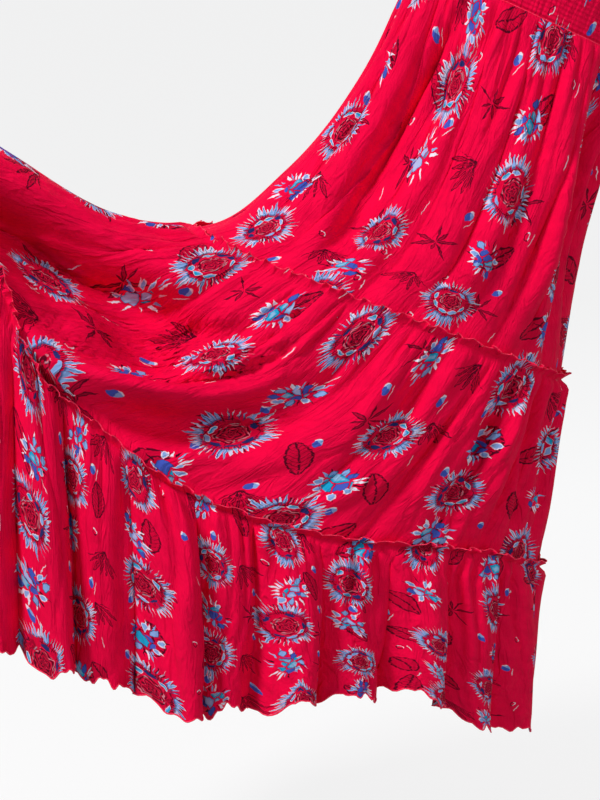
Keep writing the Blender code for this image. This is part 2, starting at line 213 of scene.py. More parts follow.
# Smaller creases that only the finished cloth has.
FINE_CREASES = {
    FRONT: (
        # lines of pull along the top of the swag
        (-640, -170, -520, -262, -400, -300, 8, -7, 0.3),
        (-600, -185, -500, -285, -375, -322, 7, -6, 0.3),
        (-560, -225, -480, -300, -390, -335, 6, 5, 0.2),
        (-480, -255, -430, -290, -385, -292, 5, -5, 0.2),
        (-520, -300, -430, -345, -345, -345, 8, -6, 0.3),
        (-470, -355, -400, -378, -310, -360, 9, 7, -0.3),
        # the valley under the roll, soft at the left and sharp near the knot
        (-820, -50, -560, -240, -340, -340, 30, 31, -0.3),
        (-820, -90, -560, -290, -360, -405, 24, -66, 0.4),
        (-540, -330, -390, -428, -255, -366, 13, -36, 0.4),
        (-800, -170, -550, -340, -390, -430, 18, 19, -0.2),
        (-780, -230, -535, -380, -360, -425, 14, -33, 0.5),
        (-640, -400, -396, -486, -200, -390, 22, -28, 0.3),
        (-540, -395, -470, -435, -370, -445, 10, 6, -0.3),
        (-530, -470, -430, -520, -290, -505, 16, 8, -0.4),
        (-460, -540, -360, -555, -230, -510, 12, -8, 0.4),
        (-350, -570, -250, -570, -150, -520, 10, 6, 0.2),
        # folds that fan down from the waist
        (-128, 20, -160, -35, -196, -105, 7, -13, 0.3),
        (-118, 10, -150, -50, -200, -140, 9, 6, 0.2),
        (-80, 10, -145, -109, -216, -245, 10, -30, -0.4),
        (-150, -120, -210, -234, -262, -310, 15, -24, -0.4),
        (-64, -30, -86, -90, -122, -175, 8, -9, -0.3),
        (-44, -40, -78, -101, -108, -160, 7, 7, 0.2),
        (-25, -45, -55, -125, -85, -215, 8, -9, -0.3),
        (-8, -58, -37, -124, -60, -195, 7, 6, 0.2),
        (5, -60, -12, -140, -35, -250, 8, -8, 0.3),
        (20, -66, 12, -136, -9, -225, 8, 6, 0.2),
        (36, -68, 26, -150, 8, -270, 7, -8, -0.3),
        # the fold that overlaps the side panel
        (52, -60, 28, -170, 0, -350, 12, 18, 0.7),
        (72, -70, 52, -190, 20, -380, 13, -24, -0.2),
        (14, -235, 0, -320, -10, -425, 10, 8, 0.6),
        (85, -110, 72, -220, 52, -370, 8, -7, 0.2),
        (-165, -180, -230, -260, -300, -325, 12, 8, 0.3),
        (-130, -200, -170, -290, -230, -365, 14, -8, -0.2),
        (-80, -210, -110, -300, -150, -375, 12, 5, 0.2),
        (-30, -230, -50, -310, -85, -395, 12, -7, -0.2),
        # the middle tier's pull to the left
        (-250, -345, -300, -385, -365, -425, 9, -9, 0.3),
        (-222, -355, -285, -415, -350, -480, 10, 6, 0.2),
        (-190, -370, -255, -450, -330, -530, 11, -8, 0.3),
        (-150, -385, -200, -470, -265, -560, 10, 6, 0.2),
        (-115, -395, -165, -490, -220, -585, 10, -9, 0.3),
        (-80, -410, -110, -500, -160, -600, 9, 6, 0.2),
        (-50, -415, -75, -520, -110, -620, 9, -12, -0.4),
        (-26, -425, -42, -520, -70, -640, 8, 7, 0.3),
        (-6, -435, -15, -540, -34, -660, 8, -14, -0.4),
        (16, -450, 10, -560, -5, -675, 8, -8, 0.3),
    ),
    BACK: (
        (-640, -180, -530, -270, -410, -300, 8, -7, 0.3),
        (-580, -235, -480, -310, -380, -330, 7, 5, 0.2),
        (-600, -310, -510, -380, -420, -420, 12, -12, 0.5),
        (-540, -430, -450, -480, -340, -470, 12, 8, -0.3),
        (-430, -520, -330, -545, -210, -510, 12, -8, 0.4),
        (-115, 20, -155, -80, -215, -180, 8, -14, -0.4),
        (-85, 10, -120, -90, -175, -210, 9, 7, 0.2),
        (-50, -20, -90, -130, -150, -240, 9, -11, -0.3),
        (-10, -40, -35, -140, -80, -270, 9, -9, 0.2),
        (25, -55, 10, -150, -20, -280, 8, 7, 0.4),
        (60, -70, 50, -180, 35, -330, 8, -11, 0.4),
        (-140, -390, -200, -480, -260, -570, 11, -8, 0.3),
        (-50, -430, -100, -520, -150, -620, 10, -11, 0.3),
        (-10, -440, -30, -540, -60, -650, 9, 7, 0.2),
        (-210, -370, -280, -450, -350, -520, 12, -8, 0.3),
    ),
}

# Rows of small pleats set in at a gathered seam: pleats round the whole ring,
# how far down they reach, their height, the seed of their uneven widths, and
# whether they only show towards the right end.
Pleats = namedtuple("Pleats", "count reach height seed right", defaults=(False,))

# One row for each tier: the levels of its two edges, how many layers out it lies,
# the mesh columns of half a ring and the mesh rows, its pleats, the curls of its
# frill heading, and its place in the print.
Tier = namedtuple("Tier", "name top bottom layer columns rows pleats frills print_u print_v")

TIERS = {tier.name: tier for tier in (
    Tier("bodice", -BODICE_HEIGHT, 0.0, 0, 372, 62, (), 62, 0.03, 0.11),
    Tier("upper_tier", 0.0, UPPER_SEAM, 1, 330, 66,
         (Pleats(92, 0.040, 0.0021, 11), Pleats(44, 0.130, 0.0052, 12),
          Pleats(24, 0.260, 0.0050, 13)), 0, 0.00, 0.02),
    Tier("middle_tier", UPPER_SEAM, FLOUNCE_SEAM, 2, 400, 56,
         (Pleats(128, 0.045, 0.0036, 21), Pleats(56, 0.140, 0.0062, 22),
          Pleats(30, 0.330, 0.0046, 23), Pleats(72, 0.600, 0.0095, 24, True)), 108, 0.05, 0.07),
    Tier("flounce", FLOUNCE_SEAM, HEM, 3, 470, 50,
         (Pleats(150, 0.050, 0.0046, 31), Pleats(66, 0.170, 0.0130, 32),
          Pleats(38, 0.500, 0.0105, 33)), 140, 0.02, 0.13),
)}

# The settings that are colours of the print.
INKS = ("ground", "shade", "dark", "pale", "petal", "turquoise", "royal", "navy", "edge")


def srgb(red, green, blue):
    """A colour given from 0 to 255, as the linear values that a shader takes."""
    return tuple(((c / 255 + 0.055) / 1.055)**2.4 if c > 10 else c / 255 / 12.92
                 for c in (red, green, blue))


# ---------------------------------------------------------------- settings
def amount(name, description, default, low=0.0, **more):
    return bpy.props.FloatProperty(name=name, description=description, default=default,
                                   min=low, **more)


def size(name, description, default, low=0.0, high=10.0):
    return amount(name, description, default, low, max=high, unit="LENGTH",
                  subtype="DISTANCE", precision=4)


def colour(name, description, default):
    return bpy.props.FloatVectorProperty(name=name, description=description, default=default,
                                         size=3, min=0.0, max=1.0, subtype="COLOR")


class DressClothSettings(bpy.types.PropertyGroup):
    """Sizes of the cloth and its sewing."""
    thickness: size("Thickness", "Thickness of the crepe", 0.0006)
    bodice_width: size("Bodice width", "Flat width of the bodice's cloth, unshirred", 1.10)
    upper_tier_width: size("Upper tier width", "Flat width of the upper tier's cloth", 1.26)
    middle_tier_width: size("Middle tier width", "Flat width of the middle tier's cloth", 1.90)
    flounce_width: size("Flounce width", "Flat width of the flounce's cloth", 2.75)
    frill_flop: size("Frill flop", "How far a frill heading falls outwards", 0.0055)
    roll: size("Rolled edge", "Radius of the rolled edges of the headings", 0.0006)
    hem_roll: size("Rolled hem", "Radius of the rolled hem", 0.0009)


class DressPrintSettings(bpy.types.PropertyGroup):
    """Colours and sizes of the printed flowers."""
    ground: colour("Ground", "Crimson ground of the print", srgb(246, 0, 66))
    shade: colour("Leaf shade", "Darker crimson inside the leaves", srgb(196, 0, 50))
    dark: colour("Drawn lines", "Dark maroon of the drawn leaves", srgb(66, 4, 30))
    pale: colour("Petal edge", "Pale edge of the petals", srgb(236, 226, 244))
    petal: colour("Petal", "Light blue of the petals", srgb(134, 170, 226))
    turquoise: colour("Turquoise", "Turquoise of the small blooms", srgb(26, 160, 204))
    royal: colour("Royal blue", "Royal blue of the buds", srgb(66, 88, 186))
    navy: colour("Navy", "Navy of the thin outlines", srgb(38, 44, 104))
    edge: colour("Edge thread", "Thread of the rolled edges and seams", srgb(255, 58, 98))
    repeat_across: size("Repeat across", "Width of a column of flowers on the flat cloth", 0.138)
    repeat_along: size("Repeat along", "Distance between flowers down a column", 0.172)


class DressStageSettings(bpy.types.PropertyGroup):
    """The stage, its light and the camera."""
    floor_drop: size("Floor drop", "Height of the hem above the floor", 0.22)
    sweep_radius: size("Stage radius", "Radius of the round stage", 5.0, 2.0, 20.0)
    key_power: amount("Key light", "Power of the main soft light", 140.0, unit="POWER")
    fill_power: amount("Fill light", "Power of the fill light", 23.0, unit="POWER")
    back_power: amount("Back light", "Power of the light behind", 34.0, unit="POWER")
    room_glow: amount("Room light", "Brightness of the pale room", 0.31)
    stage_glow: amount("Stage glow", "How brightly the stage shines by itself", 0.79)
    distance: size("Camera distance", "Distance from the camera to the dress", 1.4)
    pitch: amount("Camera pitch", "How far the camera looks down", math.radians(8), -math.pi / 2,
                  unit="ROTATION", subtype="ANGLE")
    lens: amount("Lens", "Focal length in millimetres", 50.4, 1.0)


# ---------------------------------------------------------------- rings of the frame
def bezier(ends, pulls, w):
    """One coordinate of a ring's middle line, straight when both pulls are zero."""
    first = ends[0] + (ends[1] - ends[0]) / 3 + pulls[0]
    second = ends[1] - (ends[1] - ends[0]) / 3 + pulls[1]
    v = 1 - w
    return v**3 * ends[0] + 3 * v**2 * w * first + 3 * v * w**2 * second + w**3 * ends[1]


def half_ring(ring, side, w):
    """Points of the front or the back of a ring, w running from its left to its right."""
    round_share = 2 * np.sqrt(w * (1 - w))
    bulge = round_share * (ring.nose + (1 - ring.nose) * w**0.8)
    x = bezier((ring.left_x, ring.right_x), (ring.left_pull_x, ring.right_pull_x), w)
    z = bezier((ring.left_z, ring.right_z), (ring.left_pull_z, ring.right_pull_z), w)
    y = ring.swing * (1 - w)**1.5 + side * ring.depth * bulge
    return np.stack((x, y, z + side * ring.dip * round_share), axis=1)


def closed_ring(ring, columns):
    """The whole ring, columns evenly spaced: the front left to right, then the back.

    The flounce hangs straight down, so its rings keep the columns of its own seam.
    """
    spacing = min(ring, UPPER_RINGS[-1], key=lambda row: row.level)
    w = (1 - np.cos(np.linspace(0, np.pi, FINE))) / 2
    halves = []
    for side in (FRONT, BACK):
        steps = np.linalg.norm(np.diff(half_ring(spacing, side, w), axis=0), axis=1)
        length = np.concatenate(([0], np.cumsum(steps)))
        share = np.interp(np.linspace(0, length[-1], columns + 1), length, w)
        halves.append(half_ring(ring, side, share))
    return np.concatenate((halves[0], halves[1][-2:0:-1]))


def eased(share):
    """A share from 0 to 1, with a soft start and a soft end."""
    return share**2 * (3 - 2 * share)


def through_rings(rings, levels, columns):
    """The closed rings at each column's own levels, on smooth curves through some rings."""
    own = np.array([ring.level for ring in rings])
    shapes = np.stack([closed_ring(ring, columns) for ring in rings])
    slopes = np.gradient(shapes, own, axis=0)
    index = np.clip(np.searchsorted(own, levels) - 1, 0, len(rings) - 2)
    span = (own[index + 1] - own[index])[:, :, None]
    t = (levels - own[index])[:, :, None] / span
    every = np.arange(2 * columns)
    points = (1 - eased(t)) * shapes[index, every] + eased(t) * shapes[index + 1, every]
    pulls = (t**3 - 2 * t**2 + t) * slopes[index, every] + (t**3 - t**2) * slopes[index + 1, every]
    return points + span * pulls


def round_places(columns):
    """Place along its half ring, and side, of every column of a closed ring."""
    places = np.linspace(0, 1, columns + 1)
    side = np.where(np.arange(2 * columns) <= columns, FRONT, BACK)
    return np.concatenate((places, places[-2:0:-1])), side


def turns_round(columns):
    """How far round the ring every column is, from 0 up to 1."""
    return np.arange(2 * columns) / (2 * columns)


def waves(turns, counts, draw, least):
    """Sine waves round the ring, with chance heights and starts, added up."""
    return sum(draw.uniform(least, 1.0) * np.sin(2 * np.pi * (count * turns + draw.uniform()))
               for count in counts)


def own_levels(levels, columns):
    """The level on the frame's rings of every point, with the seams where they are sewn."""
    place, side = round_places(columns)
    straight = np.repeat(np.asarray(levels, float)[:, None], 2 * columns, axis=1)
    moved = straight.copy()
    for seam, kind in ((UPPER_SEAM, 1), (FLOUNCE_SEAM, 2)):
        near = eased(np.clip(1 - abs(straight - seam) / SHIFT_REACH, 0, 1))
        for own_side, rows in SHIFTS.items():
            shift = np.interp(place, [row[0] for row in rows], [row[kind] / 1000 for row in rows])
            moved += near * np.where(side == own_side, shift, 0)
    return moved


def plain_cloth(levels, columns):
    """The rings of the dress at some levels, before any fold."""
    moved = own_levels(levels, columns)
    bodice = through_rings(BODICE_RINGS, np.minimum(moved, 0), columns)
    upper = through_rings(UPPER_RINGS, np.clip(moved, 0, FLOUNCE_SEAM), columns)
    flounce = through_rings(FLOUNCE_RINGS, np.maximum(moved, FLOUNCE_SEAM), columns)
    moved = moved[:, :, None]
    return np.where(moved < 0, bodice, np.where(moved <= FLOUNCE_SEAM, upper, flounce))


# ---------------------------------------------------------------- folds
def unit(vectors):
    return vectors / np.maximum(np.linalg.norm(vectors, axis=-1, keepdims=True), 1e-9)


def directions(cloth, down=None):
    """Unit vectors out of the cloth, round it and down it, at every point of its rings."""
    around = np.roll(cloth, -1, axis=1) - np.roll(cloth, 1, axis=1)
    down = np.gradient(cloth, axis=0) if down is None else down
    return unit(np.cross(down, around)), unit(around), unit(down)


def fold_shape(place, ridges, power):
    """Which fold every place belongs to, and its share of that fold's height."""
    valleys = np.concatenate(([0], (ridges[1:] + ridges[:-1]) / 2, [1]))
    index = np.searchsorted(valleys, place.ravel(), side="right") - 1
    index = np.clip(index, 0, len(ridges) - 1).reshape(place.shape)
    before = (place - valleys[index]) / (ridges[index] - valleys[index])
    after = (valleys[index + 1] - place) / (valleys[index + 1] - ridges[index])
    rise = np.clip(np.minimum(before, after), 0, 1)
    return index, np.sin(rise * np.pi / 2)**power


def drifted(levels, columns, wander):
    """The places of the columns, wandering a little along their folds."""
    place, side = round_places(columns)
    drift = wander * np.sin(9 * np.asarray(levels)[:, None] + 6 * place)
    return np.clip(place + drift * np.sin(np.pi * place), 0, 1), side


def big_folds(levels, columns):
    """Height of the two upper tiers' big folds on every point of the rings."""
    moved, side = drifted(levels, columns, FOLD_WANDER)
    own, *swells = zip(*FOLD_SWELL)
    shares = np.stack([np.interp(levels, own, swell) for swell in swells], axis=1)
    height = np.zeros(moved.shape)
    for own_side, folds in FOLDS.items():
        index, shape = fold_shape(moved, np.array([fold[0] for fold in folds]), FOLD_ROUND)
        tops = shares @ (np.array([fold[1:] for fold in folds]).T / 1000)
        raised = np.take_along_axis(tops, index, axis=1) * (FOLD_DEPTH * shape - FOLD_SINK)
        height += np.where(side == own_side, raised, 0)
    return height


def flutes(levels, columns):
    """Height, sideways lean and extra length of the flounce's folds."""
    moved, side = drifted(levels, columns, FLUTE_WANDER)
    swell = np.interp(levels, *zip(*FLUTE_SWELL))[:, None]
    fall = np.clip((np.asarray(levels) - FLOUNCE_SEAM) / (HEM - FLOUNCE_SEAM), 0, 1)[:, None]**1.5
    height, lean, longer = (np.zeros(moved.shape) for _ in range(3))
    for own_side, rows in FLUTES.items():
        place, top, tilt, extra = (np.array(column) for column in zip(*rows))
        index, shape = fold_shape(moved, place, FLUTE_ROUND)
        raised = np.where(side == own_side, top[index] / 1000 * shape * swell, 0)
        height += raised
        lean += raised * tilt[index] * (1 if own_side == FRONT else -1)
        hang = np.interp(moved, (0, *place, 1), (0, *extra, 0))
        if own_side == FRONT:
            hang += np.interp(moved, *zip(*HEM_TRIM))
        longer += np.where(side == own_side, hang / 1000 * fall, 0)
    return height, lean, longer


def crease_heights(cloth, creases, end_fade):
    """Height that a table of creases gives to every point of the cloth."""
    place, side = round_places(cloth.shape[1] // 2)
    edge = np.clip(np.minimum(place, 1 - place) / EDGE_FADE, 0, 1)
    total = np.zeros(cloth.shape[:2])
    flat = cloth[:, :, (0, 2)]
    t = np.linspace(0, 1, CREASE_POINTS)[:, None]
    for own_side, row in ((own, row) for own, rows in creases.items() for row in rows):
        *spots, lean = row
        start, middle, end, (width, height) = np.reshape(spots, (4, 2)) / 1000
        bend = 2 * middle - (start + end) / 2
        line = (1 - t)**2 * start + 2 * t * (1 - t) * bend + t**2 * end
        reach = CREASE_REACH * width
        near = ((flat > line.min(axis=0) - reach) & (flat < line.max(axis=0) + reach)).all(axis=2)
        near &= side == own_side
        if not near.any():
            continue
        apart = flat[near][:, None, :] - line
        gaps = np.linalg.norm(apart, axis=2)
        every, best = np.arange(len(gaps)), np.argmin(gaps, axis=1)
        ahead, off = np.gradient(line, axis=0)[best], apart[every, best]
        handed = np.sign(ahead[:, 0] * off[:, 1] - ahead[:, 1] * off[:, 0])
        share = gaps[every, best] / (width * (1 - 0.5 * lean * handed))
        fade = np.clip(np.minimum(t, 1 - t)[best, 0] / end_fade, 0, 1)
        fade = 0.25 + 0.75 * fade if end_fade == CREASE_FADE else eased(fade)
        total[near] += height * np.exp(-share**2) * fade
    return total * edge


def pleat_heights(levels, top, pleats, columns):
    """Height of one row of small pleats, which die out below the seam they hang from."""
    draw = np.random.default_rng(pleats.seed)
    below = np.maximum(levels - top, 0)[:, None]
    around = turns_round(columns)
    drift = (0.35 * np.sin(2 * np.pi * (3 * around + 1.7 * below)) +
             0.25 * np.sin(2 * np.pi * (7 * around - 4.1 * below + 0.3))) * below / (below + 0.12)
    turns = np.mod(around + drift / pleats.count, 1)
    widths = draw.uniform(0.4, 1.7, pleats.count)
    edges = np.concatenate(([0], np.cumsum(widths) / widths.sum()))
    tops = draw.uniform(0.15, 1.0, pleats.count)
    reaches = draw.uniform(0.5, 1.4, pleats.count) * pleats.reach
    index = np.clip(np.searchsorted(edges, turns.ravel(), side="right") - 1, 0, pleats.count - 1)
    index = index.reshape(turns.shape)
    t = (turns - edges[index]) / (edges[index + 1] - edges[index])
    shape = np.sin(np.pi * t)**0.9 - PLEAT_SINK * below / (below + 0.015)
    in_heading = HEADING_SHARE * np.clip((top - levels) / LAP, 0, 1)[:, None]
    free = np.sin(np.clip(np.maximum(below / PINCH, in_heading), 0, 1) * np.pi / 2)
    return pleats.height * tops[index] * shape * free * np.exp(-(below / reaches[index])**1.6)


def frill(above, tier, flop):
    """How far the heading stands out, curls sideways and rises, above the stitch line."""
    around = turns_round(tier.columns)
    wobble = waves(around, (5, 9, 14, 23, 31), np.random.default_rng(tier.frills), 0.2)
    curl = 2 * np.pi * tier.frills * around + 1.6 * wobble
    swells = np.sin(2 * np.pi * 17 * around + wobble) * np.sin(2 * np.pi * 29 * around)
    fuller = 0.75 + 0.45 * swells
    place, _ = round_places(tier.columns)
    flop = flop * np.clip(np.minimum(place, 1 - place) / EDGE_FADE, 0.15, 1)
    share = np.clip(above / LAP, 0, 1)[:, None]
    falls_out = 0.62 * fuller * (1 + np.sin(curl)) + 0.30 * (0.50 + 0.12 * wobble)
    out = flop * share * (0.20 + falls_out * share)
    along = FRILL_CURL * fuller * share**2 * np.cos(curl)
    rise = FRILL_RISE * share * np.sin(np.pi * tier.frills * around + wobble)
    return out, along, rise


def tier_levels(tier):
    """Levels of a tier's rows, closer together at its heading and its seams."""
    heading = np.linspace(tier.top - LAP, tier.top, 7)[:-1]
    allowance = tier.bottom + np.linspace(0, ALLOWANCE, 5)[1:]
    near_hem = tier.bottom - 0.012
    below_waist = 0.06
    parts = {
        "bodice": (heading, np.linspace(tier.top, tier.bottom, tier.rows - 6)),
        "upper_tier": (np.linspace(0, below_waist, 14)[:-1],
                       np.linspace(below_waist, tier.bottom, tier.rows - 17), allowance),
        "middle_tier": (heading, np.linspace(tier.top, tier.bottom, tier.rows - 10), allowance),
        "flounce": (heading, np.linspace(tier.top, near_hem, tier.rows - 11)[:-1],
                    np.linspace(near_hem, tier.bottom, 6)),
    }
    return np.concatenate(parts[tier.name])


def shirring(levels, columns):
    """The bodice's puffs between its rows of elastic thread."""
    around = turns_round(columns)
    wobble = waves(around, (6, 11, 17, 29), np.random.default_rng(5), 0.3)
    row = (levels[:, None] + BODICE_HEIGHT) / ELASTIC_ROWS
    inside = np.abs(np.sin(np.pi * row))
    ribs = np.sin(2 * np.pi * RIBS * around + 1.1 * wobble + 0.9 * np.sin(2.4 * np.floor(row)))
    return PUFF * inside**0.7 + RIB * (1 + ribs) * (0.45 + 0.55 * inside)


def hem_waves(levels, columns):
    """How the hem flutters out, and how it ripples down."""
    turn = 2 * np.pi * turns_round(columns)
    near_hem = np.clip(1 - (HEM - levels) / HEM_REACH, 0, 1)[:, None]**2
    flutter = HEM_FLUTTER * np.sin(104 * turn + 2 * np.sin(7 * turn) + 1.5 * np.sin(17 * turn))
    ripple = (0.0026 * np.sin(61 * turn + 2 * np.sin(5 * turn)) +
              0.0020 * np.sin(143 * turn + 3 * np.sin(11 * turn)) +
              0.0012 * np.abs(np.sin(97 * turn + 2 * np.sin(23 * turn))))
    return near_hem * flutter, near_hem * ripple


def sewn_cloth(tier, cloth_settings):
    """The middle surface of one tier, as closed rings from its heading to its lower edge."""
    levels = tier_levels(tier)
    plain = plain_cloth(levels, tier.columns)
    flute, lean, longer = flutes(levels, tier.columns)
    above_flounce = np.clip((FLOUNCE_SEAM + 0.01 - levels) / 0.07, 0, 1)[:, None]
    creases = crease_heights(plain, CREASES, CREASE_FADE) * (0.4 + 0.6 * above_flounce)
    heights = big_folds(levels, tier.columns) + creases + flute
    out, around, down = directions(plain, plain_cloth(levels + 0.002, tier.columns) - plain)
    cloth = plain + out * heights[:, :, None] + around * lean[:, :, None]
    cloth[:, :, 2] -= longer
    out = unit(out + CREASE_FOLLOW * directions(cloth)[0])
    fine = crease_heights(cloth, FINE_CREASES, FINE_CREASE_FADE) * above_flounce
    cloth += out * fine[:, :, None]
    spread = np.linalg.norm(np.roll(cloth, -1, axis=1) - np.roll(cloth, 1, axis=1), axis=2)
    room = np.clip(spread / np.median(spread, axis=1, keepdims=True), 0.3, 1.2)
    place, _ = round_places(tier.columns)
    at_right = np.clip((place - RIGHT_FROM) / RIGHT_OVER, 0, 1)
    at_right = at_right * np.clip((tier.bottom - levels) / 0.03, 0, 1)[:, None]
    turned_out = np.clip((levels - tier.bottom) / ALLOWANCE, 0, 1)[:, None]
    proud = LAYER * tier.layer + turned_out * (LAYER - cloth_settings.thickness)
    for pleats in tier.pleats:
        share = np.maximum(room, 0.85) * at_right if pleats.right else room
        proud = proud + share * pleat_heights(levels, tier.top, pleats, tier.columns)
    if tier.name == "bodice":
        proud = proud + shirring(levels, tier.columns)
    cloth += out * proud[:, :, None]
    if tier.frills:
        stand, along, rise = frill(tier.top - levels, tier, cloth_settings.frill_flop)
        cloth += out * stand[:, :, None] + around * along[:, :, None] - down * rise[:, :, None]
    if tier.name == "flounce":
        flutter, ripple = hem_waves(levels, tier.columns)
        cloth += out * flutter[:, :, None] + down * ripple[:, :, None]
    return levels, cloth


# ---------------------------------------------------------------- pieces
def placed(maker, name, material):
    """A bmesh as a smooth object in the scene."""
    mesh = bpy.data.meshes.new(name)
    maker.to_mesh(mesh)
    maker.free()
    mesh.materials.append(material)
    mesh.shade_smooth()
    piece = bpy.data.objects.new(name, mesh)
    bpy.context.scene.collection.objects.link(piece)
    return piece


def finished(maker, name, material):
    """A bmesh as a finished piece that rides on the dress."""
    piece = placed(maker, name, material)
    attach(piece, "root")
    return piece


def cloth_tube(name, rings, places, material, thickness):
    """A closed tube of thin cloth on a table of rings, with its flat cut as its UV map."""
    rows, columns = rings.shape[:2]
    sheet = bmesh.new()
    print_map = sheet.loops.layers.uv.new("flat_cut")
    bmesh.ops.create_grid(sheet, x_segments=columns, y_segments=rows - 1, size=1)
    points = np.concatenate((rings, rings[:, :1]), axis=1).reshape(-1, 3)
    flat = places.reshape(-1, 2)
    for number, vert in enumerate(sheet.verts):
        vert.co = points[number]
        for loop in vert.link_loops:
            loop[print_map].uv = flat[number]
    sheet.verts.ensure_lookup_table()
    seam = [sheet.verts[row * (columns + 1) + k * columns] for row in range(rows) for k in (0, 1)]
    bmesh.ops.remove_doubles(sheet, verts=seam, dist=1e-6)
    middle = Vector(rings[rows // 2].mean(axis=0))
    sheet.faces.ensure_lookup_table()
    face = sheet.faces[(rows // 2) * columns + columns // 4]
    if (face.calc_center_median() - middle).dot(face.normal) < 0:
        bmesh.ops.reverse_faces(sheet, faces=sheet.faces[:])
    piece = finished(sheet, name, material)
    wall = piece.modifiers.new("cloth thickness", "SOLIDIFY")
    wall.thickness = thickness
    wall.offset = 0
    return piece


def edge_tube(name, line, radius, material):
    """A thin round edge along a closed line of points: a rolled hem or a seam."""
    ahead = unit(np.roll(line, -1, axis=0) - np.roll(line, 1, axis=0))
    side = unit(np.cross(ahead, (0.13, 0.31, 0.94)))
    up = np.cross(side, ahead)
    edge = bmesh.new()
    bmesh.ops.create_grid(edge, x_segments=len(line), y_segments=TUBE_SIDES, size=1)
    turn = np.linspace(0, 2 * np.pi, TUBE_SIDES + 1)[:, None, None]
    tube = line + radius * (np.cos(turn) * side + np.sin(turn) * up)
    points = np.concatenate((tube, tube[:, :1]), axis=1).reshape(-1, 3)
    for number, vert in enumerate(edge.verts):
        vert.co = points[number]
    bmesh.ops.remove_doubles(edge, verts=edge.verts[:], dist=1e-6)
    bmesh.ops.recalc_face_normals(edge, faces=edge.faces[:])
    return finished(edge, name, material)


def flat_places(tier, levels, width):
    """Place of every point on the flat cut, in metres, the closing column included."""
    u = tier.print_u + np.linspace(0, width, 2 * tier.columns + 1)
    v = tier.print_v + tier.bottom - levels
    return np.stack(np.meshgrid(u, v), axis=-1)


# ---------------------------------------------------------------- shader words
def tree_of(*values):
    """The node tree of the first of some values that is a link."""
    links = (getattr(value, "link", value) for value in values)
    return next(link.id_data for link in links if isinstance(link, bpy.types.NodeSocket))


def set_sockets(node, values):
    """Sets or links the sockets of a node, by number or name."""
    for key, value in values.items() if isinstance(values, dict) else enumerate(values):
        value = getattr(value, "link", value)
        if isinstance(value, bpy.types.NodeSocket):
            node.id_data.links.new(value, node.inputs[key])
        else:
            node.inputs[key].default_value = value


def add(tree, kind, settings, values, output=0):
    """Adds any node: first its settings, then its sockets."""
    node = tree.nodes.new(kind)
    for name, value in settings.items():
        setattr(node, name, value)
    set_sockets(node, values)
    return node.outputs[output]


def maths(operation, *values, clamp=False):
    """A Math node, as a number."""
    settings = {"operation": operation, "use_clamp": clamp}
    return Number(add(tree_of(*values), "ShaderNodeMath", settings, values))


def node_method(operation, turned=False):
    """A method that adds one Math node, its values turned round for the reflected forms."""
    def method(*values):
        return maths(operation, *(reversed(values) if turned else values))
    return method


class Number:
    """A value that changes over the cloth; Python's operators add the Math nodes."""

    def __init__(self, link):
        self.link = link

    __add__ = __radd__ = node_method("ADD")
    __sub__ = node_method("SUBTRACT")
    __rsub__ = node_method("SUBTRACT", turned=True)
    __mul__ = __rmul__ = node_method("MULTIPLY")
    __truediv__ = node_method("DIVIDE")
    __rtruediv__ = node_method("DIVIDE", turned=True)
    __pow__ = node_method("POWER")
    __abs__ = node_method("ABSOLUTE")
    __gt__ = node_method("GREATER_THAN")
    __lt__ = node_method("LESS_THAN")
    wave = node_method("SINE")
    floor = node_method("FLOOR")
    part = node_method("FRACT")
    larger = node_method("MAXIMUM")
    turned_from = node_method("ARCTAN2")

    def off_middle(self):
        """How far it is from the middle between two whole numbers."""
        return abs(self.part() - 0.5)

    def cycle(self):
        """A sine that repeats with every whole turn."""
        return (self * (2 * math.pi)).wave()

    def rises(self, low, high):
        """Zero up to low, one from high, straight between them."""
        slope = 1.0 / (high - low)
        return maths("MULTIPLY_ADD", self, slope, -low * slope, clamp=True)

    def falls(self, low, high):
        """One up to low, zero from high, straight between them."""
        slope = 1.0 / (high - low)
        return maths("MULTIPLY_ADD", self, -slope, high * slope, clamp=True)


def vector(operation, *values):
    """A Vector Math node."""
    sockets = {0: values[0], "Scale": values[1]} if operation == "SCALE" else values
    return add(tree_of(*values), "ShaderNodeVectorMath", {"operation": operation}, sockets)


def split(link):
    """The x, y and z of a vector or colour, as numbers."""
    node = add(tree_of(link), "ShaderNodeSeparateXYZ", {}, (link,)).node
    return [Number(socket) for socket in node.outputs]


def join(x, y=0.0, z=0.0):
    """A vector of three numbers."""
    return add(tree_of(x), "ShaderNodeCombineXYZ", {}, (x, y, z))


def paint(share, under, over):
    """The colour under, with the colour over laid on it by share."""
    return add(tree_of(share), "ShaderNodeMix", {"data_type": "RGBA", "blend_type": "MIX"},
               {"Factor": share, 6: under, 7: over}, 2)


def noise(place, scale, detail, roughness, output=0, **more):
    """Flat noise over the cloth."""
    sockets = {"Vector": place, "Scale": scale, "Detail": detail, "Roughness": roughness, **more}
    return add(tree_of(place), "ShaderNodeTexNoise", {"noise_dimensions": "2D"}, sockets, output)


def inks(colours):
    """The settings' colours, as the colours that a shader takes."""
    return SimpleNamespace(**{name: (*getattr(colours, name), 1.0) for name in INKS})


